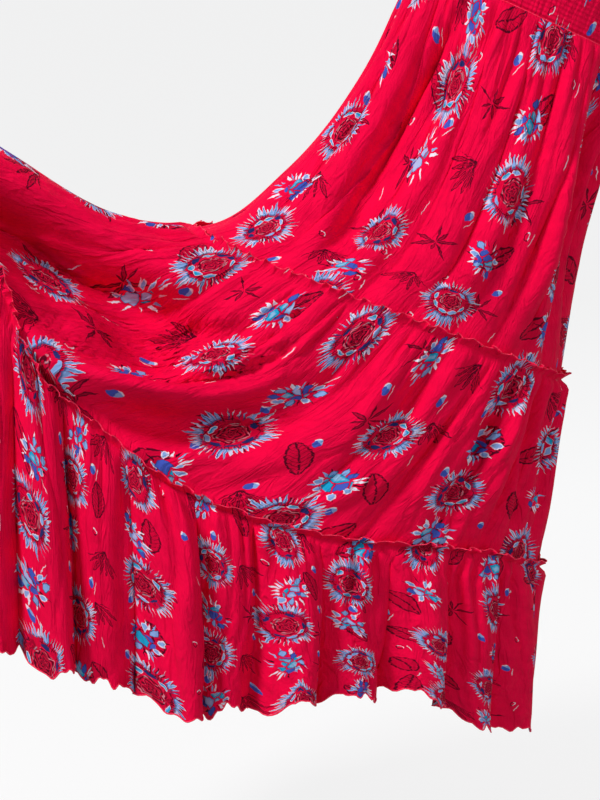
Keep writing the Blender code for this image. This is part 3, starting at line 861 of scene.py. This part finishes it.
# ---------------------------------------------------------------- the print
def motif_cell(flat, across, along, shift, turn, wander, drop=0.0):
    """A lattice of motifs on the flat cloth, in millimetres.

    Gives the place in the motif's own turned frame and three chance numbers.
    """
    moved = vector("ADD", flat, (*shift, 0.0))
    x, y, _ = split(vector("DIVIDE", moved, (across, along, 1.0)))
    y = y + x.floor() * drop if drop else y
    grid = join(x, y)
    cell = vector("FLOOR", grid)
    chance = add(tree_of(flat), "ShaderNodeTexWhiteNoise", {"noise_dimensions": "2D"},
                 {"Vector": cell}, 1)
    inside = vector("SUBTRACT", vector("FRACTION", grid), (0.5, 0.5, 0.0))
    inside = vector("MULTIPLY", inside, (across, along, 1.0))
    jitter = vector("MULTIPLY", vector("SUBTRACT", chance, (0.5, 0.5, 0.5)), (*wander, 0.0))
    first, second, third = split(chance)
    angle = (third * 7.31).part() * (2 * turn) - turn
    own = add(tree_of(flat), "ShaderNodeVectorRotate", {"rotation_type": "Z_AXIS"},
              {"Vector": vector("SUBTRACT", inside, jitter), "Angle": angle})
    return own, (first, second, third)


def chance_of(*values):
    """Three chance numbers that stay the same for the same values."""
    return split(add(tree_of(*values), "ShaderNodeTexWhiteNoise", {"noise_dimensions": "3D"},
                     {"Vector": join(*values)}, 1))


def length(x, y):
    """Distance from the middle."""
    return (x * x + y * y)**0.5


def polar(place, across, along):
    """Distance from the middle as a share of the motif's size, and turns round it."""
    x, y, _ = split(vector("DIVIDE", place, (across, along, 1.0)))
    return length(x, y), y.turned_from(x) * (0.5 / math.pi) + 0.5


def ring_flower(ink, under, cell):
    """A round bloom: pale-edged blue rays, broken inner arcs and a scribbled heart."""
    place, (first, second, third) = cell
    radius = 41.0 + second * 7.0
    reach, turns = polar(vector("SCALE", place, 1.0 / radius), 0.94, 1.12)
    rays = turns * 43.0
    a, b, c = chance_of(rays.floor(), first * 91.0, second * 57.0)
    off = rays.off_middle()
    cluster = (turns * 3.0 + first).cycle() + (turns * 5.0 + second * 3.0).cycle()
    cluster = cluster.rises(-0.55, 0.05)
    tip = 0.80 + a * 0.24
    foot = 0.56 + b * 0.09 - cluster * 0.03
    wide = (tip - reach).rises(0.0, 0.34)**0.85 * (0.22 + cluster * 0.50) * (0.65 + c * 0.5)
    body = (wide - off).rises(0.0, 0.05) * (reach - foot).rises(0.0, 0.02)
    edge = (wide - off).falls(0.07, 0.14) * (c > 0.30)
    blue = paint((b > 0.70) * 0.6, ink.petal, ink.pale)
    blue = paint((reach - foot).falls(0.03, 0.07) * 0.8, blue, ink.navy)
    blue = paint(edge * 0.85, blue, ink.pale)
    line = (a > 0.60) * off.falls(0.04, 0.09) * (tip - reach).rises(0.06, 0.12)
    blue = paint(line * 0.85, blue, ink.navy)
    hollow = (reach - 0.36).rises(0.0, 0.03) * (reach - foot).falls(0.0, 0.06)
    under = paint(hollow * 0.55, under, ink.shade)
    strokes = turns * 57.0 + second * 3.0
    g, h, _ = chance_of(strokes.floor(), third * 43.0, first * 17.0)
    stroke = (0.24 - strokes.off_middle()).rises(0.0, 0.08) * (g > 0.30)
    stroke = stroke * (reach - 0.44 - h * 0.07).rises(0.0, 0.02)
    stroke = stroke * (reach - 0.58 - g * 0.26).falls(0.0, 0.03)
    result = paint(stroke * 0.9, under, paint(h > 0.60, ink.dark, ink.navy))
    result = paint(body, result, blue)
    # the broken ring inside
    arcs = turns * 9.0
    d, e, f = chance_of(arcs.floor(), first * 33.0, third * 71.0)
    along_arc = arcs.off_middle()
    off = reach - (0.435 + e * 0.05)
    depth = (1.0 - along_arc * along_arc * 4.0) * (0.045 + f * 0.040) - abs(off)
    inner = paint(d > 0.70, ink.petal, ink.navy)
    inner = paint((d < 0.50) * off.rises(-0.010, 0.004), inner, ink.turquoise)
    inner = paint((d < 0.62) * depth.falls(0.014, 0.026), inner, ink.pale)
    result = paint(depth.rises(0.0, 0.012) * (d > 0.18), result, inner)
    outline = abs(reach - 0.515 - e * 0.02).falls(0.006, 0.014) * (f > 0.35)
    result = paint(outline * 0.8, result, ink.dark)
    # the heart
    swirl = (reach * 62.0 + turns * (6 * math.pi) + (turns * 5.0 + first).cycle() * 2.2).wave()
    heart = paint(swirl.rises(-0.1, 0.5), ink.shade, ink.dark)
    light = (reach * 41.0 - turns * (4 * math.pi) + (turns * 3.0 + third).cycle() * 2.0).wave()
    heart = paint(light.rises(0.84, 0.96) * 0.45, heart, ink.edge)
    spots = (light * swirl).rises(0.30, 0.55) * (reach - 0.24).rises(0.0, 0.04)
    heart = paint(spots * 0.30, heart, ink.pale)
    return paint((reach - e * 0.03).falls(0.335, 0.350) * 0.92, result, heart)


def turquoise_bloom(ink, under, cell):
    """A small bloom: turquoise and royal patches, light-blue petals and thin spikes."""
    place, (first, second, third) = cell
    reach, turns = polar(place, 24.0, 36.0)
    reach = reach + (turns * 2.0 + first).cycle() * 0.10
    # thin spikes outside
    rays = turns * 29.0
    d, e, f = chance_of(rays.floor(), second * 47.0, third * 83.0)
    tip = 0.82 + d * 0.30
    wide = (tip - reach).rises(0.0, 0.30) * (0.20 + e * 0.26)
    spike = (wide - rays.off_middle()).rises(0.0, 0.06) * reach.rises(0.56, 0.62) * (f > 0.34)
    tone = paint(e < 0.22, paint(e > 0.55, ink.petal, ink.pale), ink.dark)
    result = paint(spike, under, tone)
    # rounded petals
    petals = turns * 9.0 + second
    k, m, n = chance_of(petals.floor(), first * 31.0, third * 53.0)
    along_petal = (reach - 0.52 - k * 0.16) * (2.9 + m * 2.6)
    half = (1.0 - along_petal * along_petal) * (0.26 + n * 0.22)
    depth = half - petals.off_middle()
    petal = paint(n > 0.80, ink.petal, ink.royal)
    petal = paint(depth.falls(0.07, 0.15), petal, paint(n > 0.5, ink.pale, ink.navy))
    result = paint(depth.rises(0.0, 0.05) * (m > 0.26), result, petal)
    # the patches in the middle
    apart = vector("ADD", place, join(first * 400.0, second * 400.0))
    chance, brink = (add(tree_of(place), "ShaderNodeTexVoronoi",
                         {"voronoi_dimensions": "2D", "feature": feature},
                         {"Vector": apart, "Scale": 1.0 / 13.0}, output)
                     for feature, output in (("F1", 1), ("DISTANCE_TO_EDGE", 0)))
    brink = Number(brink)
    a, b, c = split(chance)
    core = (reach + a * 0.30).falls(0.56, 0.60) * brink.rises(0.035, 0.065)
    patch = paint(b > 0.74, paint(b > 0.30, ink.royal, ink.turquoise), ink.petal)
    shine = (brink * 2.0 + c * 0.4).rises(0.55, 0.85) * (b > 0.40) * 0.30
    patch = paint(shine, patch, ink.pale)
    patch = paint(brink.falls(0.075, 0.120), patch, ink.navy)
    return paint(core, result, patch)


def drawn_leaves(ink, under, cell):
    """Leaves, a fan of petals or a sprig, drawn in dark broken lines."""
    place, (first, second, third) = cell
    x, y, _ = split(place)
    break_up = Number(noise(place, 0.22, 1.0, 0.6)).rises(0.30, 0.42)
    # a long leaf with its vein
    t = (y + 29.0) / 58.0
    inside_leaf = t.rises(0.0, 0.03) * t.falls(0.97, 1.0)
    half = (t * math.pi).wave().larger(0.0)**0.75 * 12.5
    bent = x + (t - 0.5) * (t - 0.5) * 16.0
    rim = abs(abs(bent) - half).falls(0.85, 1.7)
    vein = abs(bent).falls(0.7, 1.5)
    ribs = ((y - abs(bent) * 0.9) / 6.5).off_middle().falls(0.05, 0.11)
    ribs = ribs * (half - abs(bent)).rises(0.0, 0.4) * (second > 0.25)
    leaf = rim.larger(vein).larger(ribs * 0.8) * inside_leaf
    leaf_shade = (half - abs(bent)).rises(0.0, 0.5) * inside_leaf * 0.62
    # a fan of petals hanging from one point
    reach = length(x, y - 22.0)
    swing = x.turned_from(22.0 - y)
    fans = swing * 2.9 + 0.5
    g, h, _ = chance_of(fans.floor(), first * 29.0, second * 13.0)
    s = reach / (34.0 + g * 14.0)
    inside_fan = s.falls(0.98, 1.0) * abs(swing).falls(0.93, 0.98)
    petal_half = (s * math.pi).wave().larger(0.0) * (0.20 + h * 0.26)
    from_middle = fans.off_middle()
    petal_rim = (abs(from_middle - petal_half) * reach).falls(1.1, 2.4)
    petal_vein = (from_middle * reach).falls(0.7, 1.5)
    fan = petal_rim.larger(petal_vein * (s < 0.8)) * inside_fan
    fan_shade = (petal_half - from_middle).rises(0.0, 0.02) * inside_fan * 0.75
    # a sprig of pointed fronds
    reach_all = length(x, y)
    fronds = y.turned_from(x) * (7 / (2 * math.pi)) + second
    k, m, n = chance_of(fronds.floor(), third * 37.0, first * 19.0)
    frond_length = 11.0 + k * 25.0
    frond_wide = (reach_all / frond_length * math.pi).wave().larger(0.0)**0.8 * (1.2 + m * 1.9)
    across_frond = abs(fronds.part() - 0.25 - n * 0.5) * reach_all * 0.80
    depth = frond_wide - across_frond
    sprig = depth.rises(0.0, 0.7) * (reach_all < frond_length) * (1.0 - depth.rises(1.2, 1.7) * 0.45)
    # one of the three in each cell
    is_leaf, is_sprig = first < 0.42, first > 0.74
    is_fan = (1.0 - is_leaf) * (1.0 - is_sprig)
    result = paint(leaf_shade * is_leaf + fan_shade * is_fan, under, ink.shade)
    lines = (leaf * is_leaf + fan * is_fan) * break_up + sprig * is_sprig
    return paint(maths("MULTIPLY", lines, 0.94, clamp=True), result, ink.dark)


def buds(ink, under, cell):
    """Royal-blue buds with pale tips, tiny oval rings and short pale strokes."""
    place, (first, second, _) = cell
    x, y, _ = split(place)
    bud = length(x / 5.2, y / 8.2).falls(0.88, 1.0) * (first < 0.52)
    blue = paint((y + x * 0.8).rises(1.4, 2.2), ink.royal, ink.petal)
    blue = paint((y - x * 0.5).rises(5.0, 5.6), blue, ink.pale)
    result = paint(bud, under, blue)
    ring = abs(length(x / 3.6, y / 5.6) - 0.85).falls(0.10, 0.20)
    ring = ring * (first > 0.52) * (first < 0.80)
    tone = paint((x + y * 0.4) > 0.6, ink.dark, ink.pale)
    result = paint(ring * 0.9, result, tone)
    stroke = abs(x - 9.0 - y * 0.12).falls(0.25, 0.7) * (second > 0.3)
    stroke = stroke * abs(y + second * 10.0).falls(7.0, 9.5)
    return paint(stroke * 0.85, result, ink.pale)


def blank_material(name):
    """A new material and its shader."""
    material = bpy.data.materials.new(name)
    material.use_nodes = True
    return material, material.node_tree.nodes["Principled BSDF"]


def crepe(name, colours, shirred=False, print_size=1.0):
    """The printed crepe: its print, its crinkle and its soft sheen."""
    material, shader = blank_material(name)
    ink = inks(colours)
    uv = add(material.node_tree, "ShaderNodeUVMap", {"uv_map": "flat_cut"}, ())
    flat = vector("SCALE", uv, 1000.0)
    wobble = vector("SUBTRACT", noise(flat, 0.16, 1.0, 0.5, output=1), (0.5, 0.5, 0.5))
    drawn = vector("ADD", flat, vector("SCALE", wobble, 3.4))
    drawn = vector("SCALE", drawn, 1 / print_size)
    across, along = 1000 * colours.repeat_across, 1000 * colours.repeat_along
    tone = Number(noise(flat, 0.035, 3.0, 0.6))
    result = paint(tone.rises(0.35, 0.70) * 0.30, ink.ground, ink.shade)
    leaves = motif_cell(drawn, across * 0.72, along / 2, (across / 2, along / 4), 1.1, (20.0, 22.0))
    result = drawn_leaves(ink, result, leaves)
    small = motif_cell(drawn, across * 0.62, along / 2, (across / 2, 0), 0.8, (26.0, 30.0))
    result = buds(ink, result, small)
    blooms = motif_cell(drawn, across, along, (0, along / 2), 0.9, (34.0, 34.0), 0.5)
    result = turquoise_bloom(ink, result, blooms)
    flowers = motif_cell(drawn, across, along, (0, 0), 0.5, (26.0, 30.0), 0.5)
    result = ring_flower(ink, result, flowers)
    crinkle = Number(noise(vector("MULTIPLY", flat, (1.0, 0.28, 1.0)), 0.42, 3.0, 0.6))
    creased = vector("MULTIPLY", flat, (1.0, 0.22, 1.0))
    creased = Number(noise(creased, 0.065, 2.5, 0.55, Distortion=0.6))
    crease_lines = abs(creased - 0.5).falls(0.0, 0.12)
    u, v, _ = split(flat)
    weave = (u / WEAVE).cycle() * (v / WEAVE).cycle()
    relief = crinkle * 1.1 + weave * 0.05 + crease_lines * 1.2 + creased * 3.6
    if shirred:
        relief = relief + (u * (2 * math.pi / 6.5) + crinkle * 5.0).wave() * 0.2
        relief = relief + (v * (2 * math.pi / 4.2) + crinkle * 2.0).wave() * 0.45
    bump = add(material.node_tree, "ShaderNodeBump", {},
               {"Height": relief, "Distance": CRINKLE, "Strength": 0.85})
    set_sockets(shader, {"Base Color": result, "Normal": bump, "Roughness": 0.70 + tone * 0.20,
                         "Specular IOR Level": 0.04, "Sheen Weight": 0.02, "Sheen Tint": ink.edge})
    return material


def thread(name, colours):
    """The overlocked thread of the rolled edges and seams."""
    material, shader = blank_material(name)
    ink = inks(colours)
    place = add(material.node_tree, "ShaderNodeTexCoord", {}, (), 3)
    stitches = Number(add(material.node_tree, "ShaderNodeTexNoise", {},
                          {"Vector": place, "Scale": 420.0, "Detail": 2.0}))
    bump = add(material.node_tree, "ShaderNodeBump", {},
               {"Height": stitches, "Distance": 0.0006, "Strength": 0.6})
    set_sockets(shader, {"Base Color": paint(stitches.rises(0.40, 0.62), ink.ground, ink.edge),
                         "Normal": bump, "Roughness": 0.62, "Specular IOR Level": 0.2})
    return material


def shared_material(name, maker, *values):
    """A material that several pieces wear, made once."""
    return bpy.data.materials.get(name) or maker(name, *values)


# ---------------------------------------------------------------- operators
MIDDLE = Vector((-0.2775, 0.0, -0.485))     # what the camera and the lights point at
LIGHTS = (              # name, way from the middle, width in metres, setting of its power
    ("key_light", (-2.4, -1.8, 2.8), 1.0, "key_power"),
    ("fill_light", (1.7, -2.5, 0.5), 2.6, "fill_power"),
    ("back_light", (0.6, 2.6, 1.9), 2.8, "back_power"),
)


def sew_tier(context, tier_name, material, slot, held, rests_on, **edges):
    """One tier of cloth with its rolled edges."""
    tier = TIERS[tier_name]
    settings = context.scene.dress_cloth
    width = getattr(settings, tier_name + "_width")
    levels, rings = sewn_cloth(tier, settings)
    places = flat_places(tier, levels, width)
    piece = cloth_tube(tier_name + "_cloth", rings, places, material, settings.thickness)
    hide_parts(tier_name + "_front", tier_name + "_back")
    thread_material = shared_material("edge_thread", thread, context.scene.dress_print)
    rolled = [edge_tube(name, rings[row], settings.hem_roll if row else settings.roll,
                        thread_material) for name, row in edges.items()]


class DRESS_OT_bodice(bpy.types.Operator):
    """Sew the shirred bodice and its frilled top edge"""
    bl_idname = "dress.sew_bodice"
    bl_label = "Sew the bodice"

    def execute(self, context):
        cloth = shared_material("shirred_crepe", crepe, context.scene.dress_print, True)
        sew_tier(context, "bodice", cloth, "shirred_cloth", "gathered", [], neck_edge=0)
        return {"FINISHED"}


class DRESS_OT_upper_tier(bpy.types.Operator):
    """Sew the upper tier and the corded waist seam"""
    bl_idname = "dress.sew_upper_tier"
    bl_label = "Sew the upper tier"

    def execute(self, context):
        cloth = shared_material("printed_crepe", crepe, context.scene.dress_print)
        sew_tier(context, "upper_tier", cloth, "printed_cloth", "hung", ["bodice_cloth"],
                 waist_seam=0)
        return {"FINISHED"}


class DRESS_OT_middle_tier(bpy.types.Operator):
    """Sew the middle tier with its frill heading"""
    bl_idname = "dress.sew_middle_tier"
    bl_label = "Sew the middle tier"

    def execute(self, context):
        cloth = shared_material("printed_crepe", crepe, context.scene.dress_print)
        sew_tier(context, "middle_tier", cloth, "printed_cloth", "gathered", ["upper_tier_cloth"],
                 middle_heading_edge=0)
        return {"FINISHED"}


class DRESS_OT_flounce(bpy.types.Operator):
    """Sew the flounce with its frill heading and its hem"""
    bl_idname = "dress.sew_flounce"
    bl_label = "Sew the flounce"

    def execute(self, context):
        cloth = shared_material("flounce_crepe", crepe, context.scene.dress_print, False,
                                FLOUNCE_PRINT)
        sew_tier(context, "flounce", cloth, "flounce_cloth", "gathered", ["middle_tier_cloth"],
                 flounce_heading_edge=0, hem_edge=-1)
        return {"FINISHED"}


class DRESS_OT_stage(bpy.types.Operator):
    """Set the pale round stage, the soft lights and the camera"""
    bl_idname = "dress.set_stage"
    bl_label = "Set the stage"

    def execute(self, context):
        settings = context.scene.dress_stage
        stage = round_stage(CAD_BOX[0][2] - settings.floor_drop, settings)
        stage.visible_diffuse = False
        for name, way, width, power in LIGHTS:
            soft_light(name, Vector(way), width, getattr(settings, power))
        world = bpy.data.worlds.new("pale_room")
        world.use_nodes = True
        set_sockets(world.node_tree.nodes["Background"],
                    {"Color": (0.93, 0.95, 1.0, 1.0), "Strength": settings.room_glow})
        context.scene.world = world
        lens = bpy.data.cameras.new("camera")
        lens.sensor_fit = "VERTICAL"
        lens.sensor_height = 36
        lens.lens = settings.lens
        lens.clip_start = 0.05
        camera = bpy.data.objects.new("camera", lens)
        back = Vector((0, -math.cos(settings.pitch), math.sin(settings.pitch)))
        camera.location = MIDDLE + back * settings.distance
        camera.rotation_euler = (math.pi / 2 - settings.pitch, 0, 0)
        context.scene.collection.objects.link(camera)
        context.scene.camera = camera
        context.scene.view_settings.view_transform = "Standard"
        return {"FINISHED"}


def round_stage(height, settings):
    """A pale floor that turns up into a wall all round."""
    radius = settings.sweep_radius
    bend = radius / 2
    turn = bmesh.new()
    centre = Vector((MIDDLE.x, 0, height))
    profile = [centre + Vector((0.001, 0, 0)), centre + Vector((radius - bend, 0, 0))]
    profile += [centre + Vector((radius - bend + bend * math.sin(a), 0, bend - bend * math.cos(a)))
                for a in np.linspace(0, math.pi / 2, 17)[1:]]
    profile.append(centre + Vector((radius, 0, radius)))
    verts = [turn.verts.new(point) for point in profile]
    edges = [turn.edges.new(pair) for pair in zip(verts[:-1], verts[1:])]
    bmesh.ops.spin(turn, geom=verts + edges, cent=centre, axis=(0, 0, 1), angle=2 * math.pi,
                   steps=96, use_merge=True)
    bmesh.ops.recalc_face_normals(turn, faces=turn.faces[:])
    bmesh.ops.reverse_faces(turn, faces=turn.faces[:])
    material, shader = blank_material("pale_stage")
    set_sockets(shader, {"Base Color": (0.16, 0.16, 0.16, 1), "Roughness": 0.9,
                         "Specular IOR Level": 0.1, "Emission Color": (1, 1, 1, 1),
                         "Emission Strength": settings.stage_glow})
    return placed(turn, "round_stage", material)


def soft_light(name, way, width, power):
    """A large square lamp, some way from the dress and pointed at it."""
    lamp = bpy.data.lights.new(name, "AREA")
    lamp.size = width
    lamp.energy = power
    light = bpy.data.objects.new(name, lamp)
    light.location = MIDDLE + way
    light.rotation_euler = (-way).to_track_quat("-Z", "Y").to_euler()
    bpy.context.scene.collection.objects.link(light)


class DRESS_PT_panel(bpy.types.Panel):
    """The dress's sizes, colours and steps"""
    bl_idname = "DRESS_PT_panel"
    bl_label = "Tiered dress"
    bl_space_type = "VIEW_3D"
    bl_region_type = "UI"
    bl_category = "Dress"

    def draw(self, context):
        for word in GROUPS:
            box = self.layout.box()
            settings = getattr(context.scene, word)
            for name in settings.__annotations__:
                box.prop(settings, name)
        for step in STEPS:
            self.layout.operator(step.bl_idname)


GROUPS = {"dress_cloth": DressClothSettings, "dress_print": DressPrintSettings,
          "dress_stage": DressStageSettings}
STEPS = (DRESS_OT_stage, DRESS_OT_bodice, DRESS_OT_upper_tier, DRESS_OT_middle_tier,
         DRESS_OT_flounce)


def register():
    for kind in (*GROUPS.values(), *STEPS, DRESS_PT_panel):
        bpy.utils.register_class(kind)
    for word, group in GROUPS.items():
        setattr(bpy.types.Scene, word, bpy.props.PointerProperty(type=group))


def unregister():
    for word in GROUPS:
        delattr(bpy.types.Scene, word)
    for kind in reversed((*GROUPS.values(), *STEPS, DRESS_PT_panel)):
        bpy.utils.unregister_class(kind)


def plain(box):
    return [[float(value) for value in corner] for corner in box]


def main():
    register()
    bpy.ops.dress.set_stage()
    bpy.ops.dress.sew_bodice()
    bpy.ops.dress.sew_upper_tier()
    bpy.ops.dress.sew_middle_tier()
    bpy.ops.dress.sew_flounce()
    bpy.context.view_layer.update()


if __name__ == "__main__":
    main()
